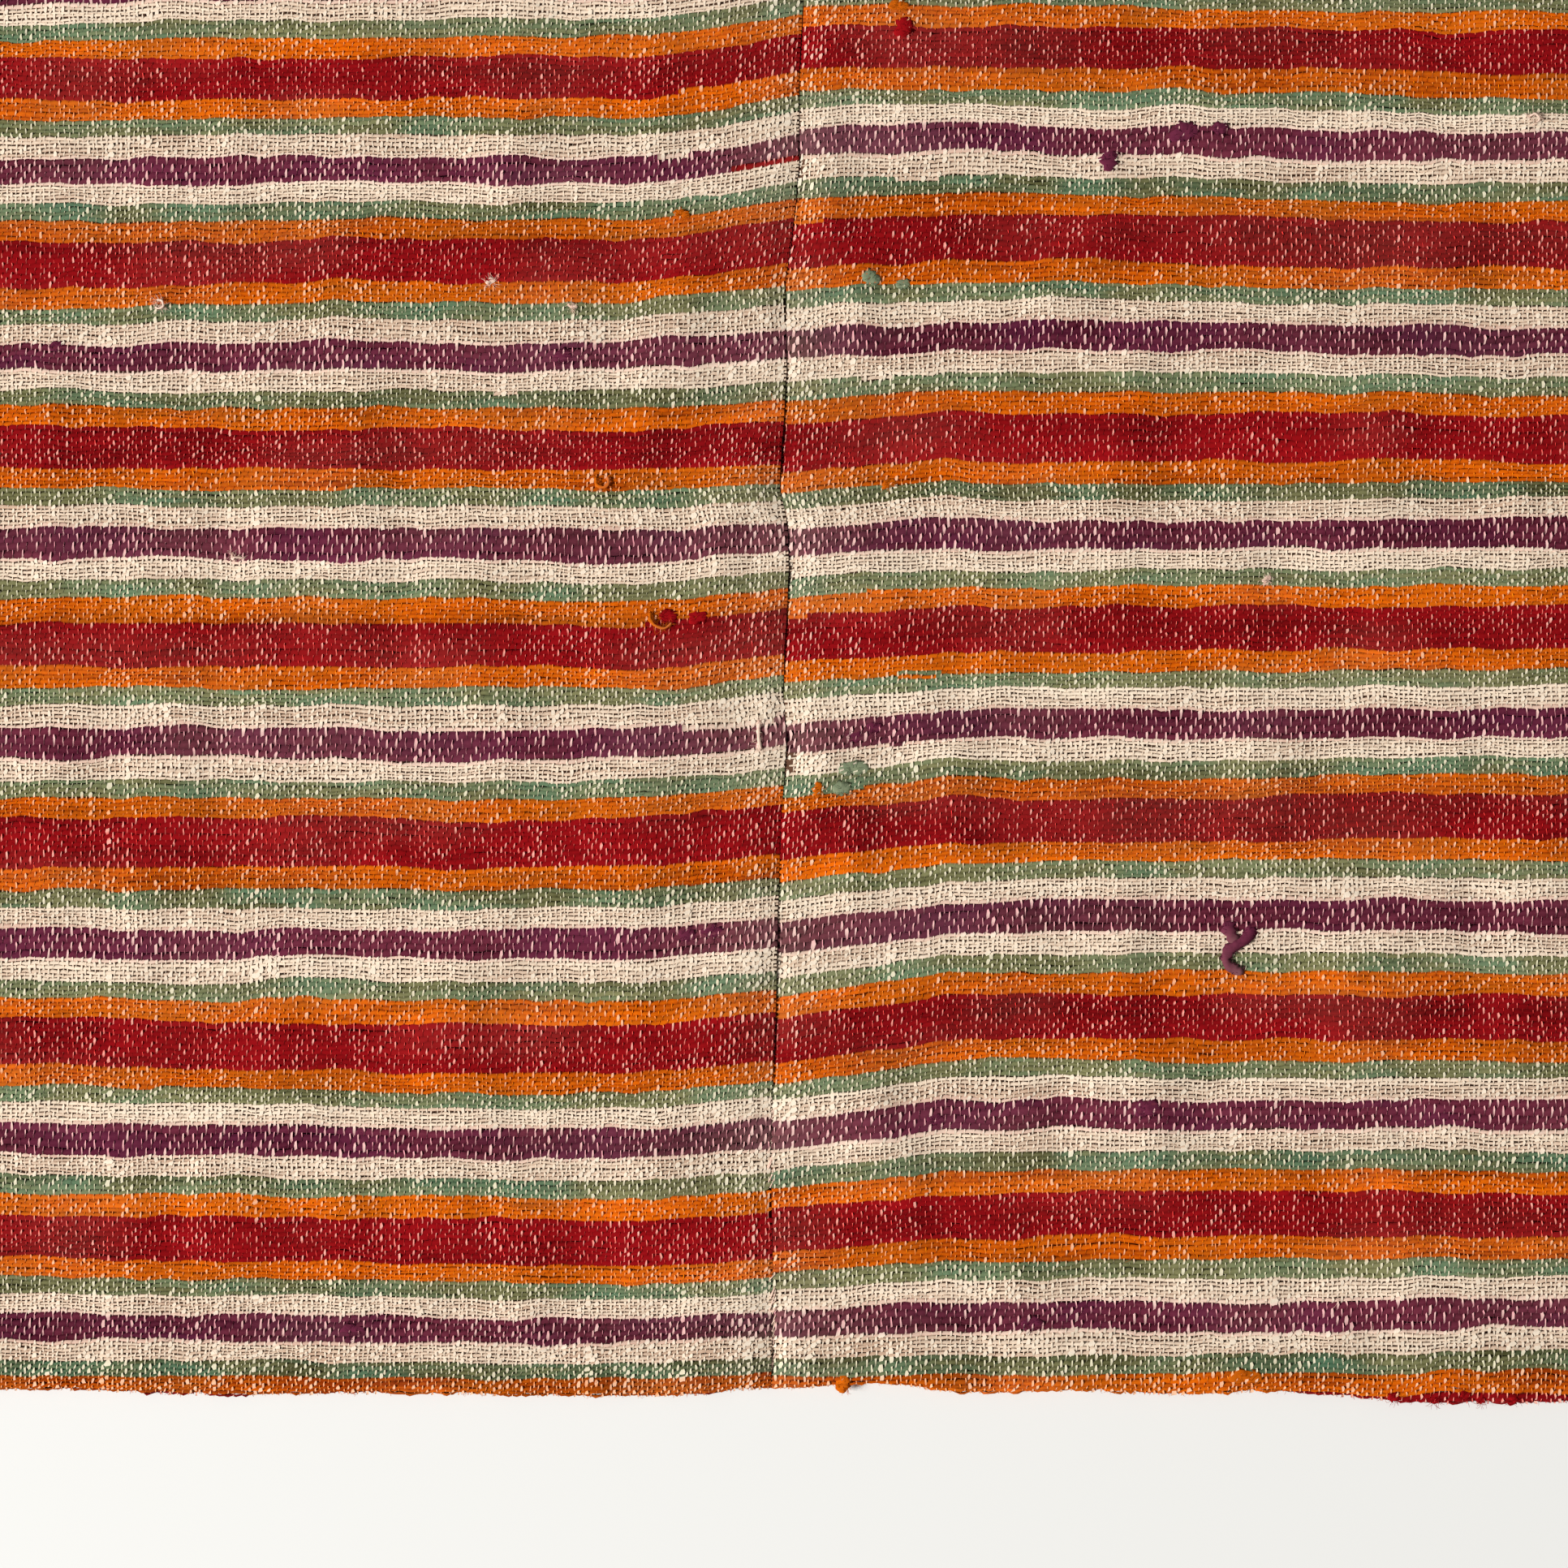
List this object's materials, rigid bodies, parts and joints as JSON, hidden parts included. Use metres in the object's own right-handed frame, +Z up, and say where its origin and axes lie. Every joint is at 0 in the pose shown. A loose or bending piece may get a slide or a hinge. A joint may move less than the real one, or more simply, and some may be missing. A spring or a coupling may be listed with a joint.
{
  "type": "striped blanket length",
  "caption": "Cut length of a striped handwoven wool blanket: loom-width panels joined edge to edge by a sewn seam, with a narrow turned hem at the woven end, lying flat.",
  "frame": {"origin": "middle of the underside, on the surface that the cloth lies on", "axes": "+X across the panels along the stripes, +Y along the warp away from the hem, +Z up out of the cloth's face"},
  "size_m": [0.424, 0.37, 0.0036],
  "materials": {
    "striped_wool": "matte handspun wool in plain weave, cross stripes of red, orange, sage green, cream and aubergine"
  },
  "bodies": {
    "root": {"panel_left": "striped_wool", "panel_right": "striped_wool"}
  },
  "joints": []
}
